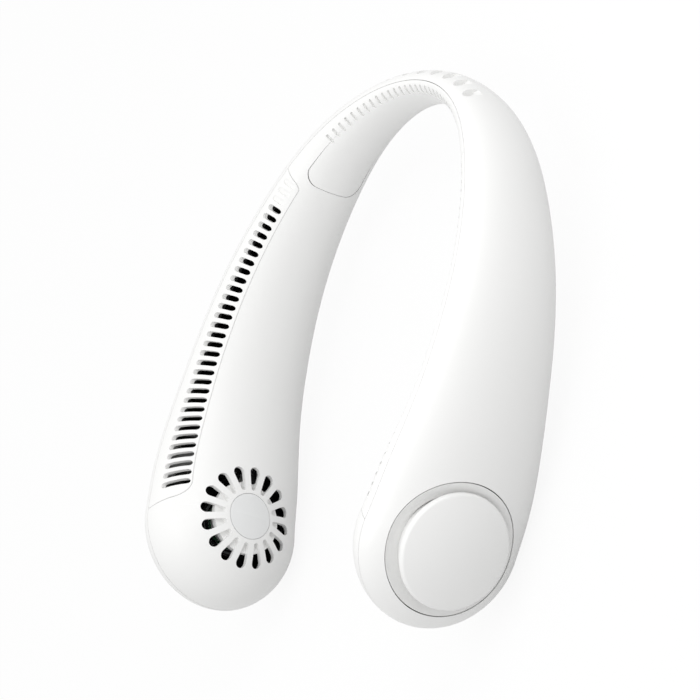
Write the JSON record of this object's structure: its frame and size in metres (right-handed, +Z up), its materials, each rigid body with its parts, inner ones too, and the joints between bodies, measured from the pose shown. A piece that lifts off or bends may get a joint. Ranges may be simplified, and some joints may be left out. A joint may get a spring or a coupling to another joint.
{
  "type": "electric neck fan",
  "caption": "U-shaped collar fan worn round the neck, with a blower in each rounded end and rows of air outlet slots along the upper edges of both arms.",
  "frame": {"origin": "under the middle of the bounding box, on the surface that the fan lies on", "axes": "+Z up as worn, +Y towards the nape, +X towards the arm on the wearer's left"},
  "size_m": [0.1902, 0.1994, 0.06],
  "materials": {
    "white_abs": "satin",
    "white_label": "satin",
    "black_abs": "matte",
    "circuit_board": "satin",
    "steel": "satin",
    "brass": "satin",
    "copper_wire": "satin",
    "ferrite": "matte",
    "cell_pouch": "satin",
    "foam": "matte",
    "wire_sleeve": "satin",
    "clear_lens": "gloss"
  },
  "bodies": {
    "collar": {"outer_shell": "white_abs", "inner_shell": "white_abs", "neck_panel": "white_abs", "link_cable": "wire_sleeve", "control_board": "circuit_board", "usb_socket": "steel", "push_switch": "black_abs", "indicator_lens": "clear_lens", "board_screws": "steel", "neck_screws": "steel", "outlet_strip_left": "white_abs", "cover_ring_left": "white_abs", "cover_cap_left": "white_abs", "rating_plate_left": "white_label", "blower_scroll_left": "black_abs", "motor_board_left": "circuit_board", "motor_screws_left": "steel", "bearing_tube_left": "brass", "motor_bearings_left": "brass", "stator_core_left": "steel", "stator_coils_left": "copper_wire", "air_duct_left": "black_abs", "battery_cell_left": "cell_pouch", "battery_pad_left": "foam", "motor_leads_left": "wire_sleeve", "outlet_strip_right": "white_abs", "cover_ring_right": "white_abs", "cover_cap_right": "white_abs", "rating_plate_right": "white_label", "blower_scroll_right": "black_abs", "motor_board_right": "circuit_board", "motor_screws_right": "steel", "bearing_tube_right": "brass", "motor_bearings_right": "brass", "stator_core_right": "steel", "stator_coils_right": "copper_wire", "air_duct_right": "black_abs", "battery_cell_right": "cell_pouch", "battery_pad_right": "foam", "motor_leads_right": "wire_sleeve"},
    "left_wheel": {"impeller_left": "black_abs", "rotor_can_left": "steel", "rotor_magnet_left": "ferrite", "motor_shaft_left": "steel"},
    "right_wheel": {"impeller_right": "black_abs", "rotor_can_right": "steel", "rotor_magnet_right": "ferrite", "motor_shaft_right": "steel"},
    "button": {"power_button": "white_abs"}
  },
  "joints": [
    {"name": "left_impeller_spin", "type": "hinge", "parent": "collar", "child": "left_wheel", "pos_m": [0.07604, -0.07036, 0.03], "axis": [0.9659, -0.2588, 0], "continuous": true},
    {"name": "right_impeller_spin", "type": "hinge", "parent": "collar", "child": "right_wheel", "pos_m": [-0.07604, -0.07036, 0.03], "axis": [-0.9659, -0.2588, 0], "continuous": true},
    {"name": "power_button_press", "type": "slide", "parent": "collar", "child": "button", "axis": [0, 0, 1], "range_m": [0, 0.0005], "stiffness_N_per_m": 800, "springref_m": -0.0005}
  ]
}
